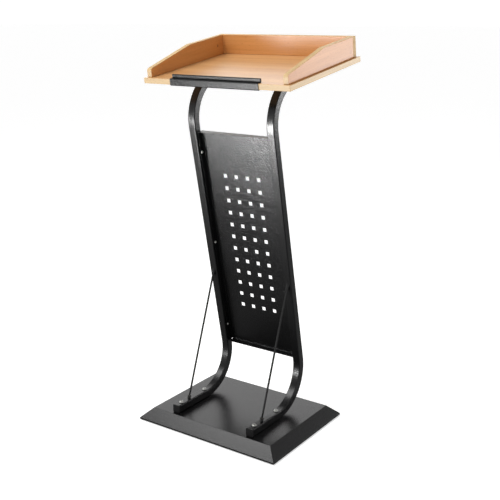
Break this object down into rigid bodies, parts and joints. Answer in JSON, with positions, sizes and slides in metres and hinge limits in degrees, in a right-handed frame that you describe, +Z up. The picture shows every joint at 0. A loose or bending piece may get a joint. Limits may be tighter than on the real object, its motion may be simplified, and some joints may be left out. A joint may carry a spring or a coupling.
{
  "type": "lectern stand",
  "caption": "Free-standing lectern with a tilted wooden tray, a folded book stop, two bent square-tube legs, brace rods, a punched front panel and a chamfered steel base.",
  "frame": {"origin": "on the floor, under the middle of the stand's bounding box", "axes": "+Z up; -Y is the front, the side with the book stop; +X to the right of someone who looks along +Y"},
  "size_m": [0.506, 0.454, 1.1764],
  "materials": {
    "powder_coat": "black powder coat, fine texture, semi-gloss",
    "panel_coat": "black powder coat on sheet, fine texture, satin",
    "wood": "beech-coloured laminated board, satin, straight fine grain",
    "zinc": "bright zinc plating",
    "dark_steel": "dark plated steel",
    "rubber": "matt black rubber",
    "plastic": "black tube inserts"
  },
  "bodies": {
    "root": {"back_fence": "wood", "base_cover": "powder_coat", "book_stop": "powder_coat", "brace_nut_left": "dark_steel", "brace_nut_right": "dark_steel", "brace_rod_left": "powder_coat", "brace_rod_right": "powder_coat", "brace_seat_left": "powder_coat", "brace_seat_right": "powder_coat", "brace_top_boss_left": "powder_coat", "brace_top_boss_right": "powder_coat", "corner_dowel_left": "dark_steel", "corner_dowel_right": "dark_steel", "corner_screw_left": "zinc", "corner_screw_right": "zinc", "fence_screw_front_left": "zinc", "fence_screw_front_right": "zinc", "fence_screw_rear_left": "zinc", "fence_screw_rear_right": "zinc", "foot_bolt_front_left": "zinc", "foot_bolt_front_right": "zinc", "foot_bolt_rear_left": "zinc", "foot_bolt_rear_right": "zinc", "foot_cap_left": "plastic", "foot_cap_right": "plastic", "foot_nut_front_left": "zinc", "foot_nut_front_right": "zinc", "foot_nut_rear_left": "zinc", "foot_nut_rear_right": "zinc", "foot_washer_front_left": "zinc", "foot_washer_front_right": "zinc", "foot_washer_rear_left": "zinc", "foot_washer_rear_right": "zinc", "front_panel": "panel_coat", "leg_left": "powder_coat", "leg_right": "powder_coat", "panel_screw_high_left": "zinc", "panel_screw_high_right": "zinc", "panel_screw_low_left": "zinc", "panel_screw_low_right": "zinc", "panel_screw_mid_left": "zinc", "panel_screw_mid_right": "zinc", "rubber_foot_back_left": "rubber", "rubber_foot_back_right": "rubber", "rubber_foot_front_left": "rubber", "rubber_foot_front_right": "rubber", "side_fence_left": "wood", "side_fence_right": "wood", "stop_screw_left": "zinc", "stop_screw_right": "zinc", "top_cap_left": "plastic", "top_cap_right": "plastic", "tray_board": "wood", "tray_screw_front_left": "zinc", "tray_screw_front_right": "zinc", "tray_screw_rear_left": "zinc", "tray_screw_rear_right": "zinc"}
  },
  "joints": []
}
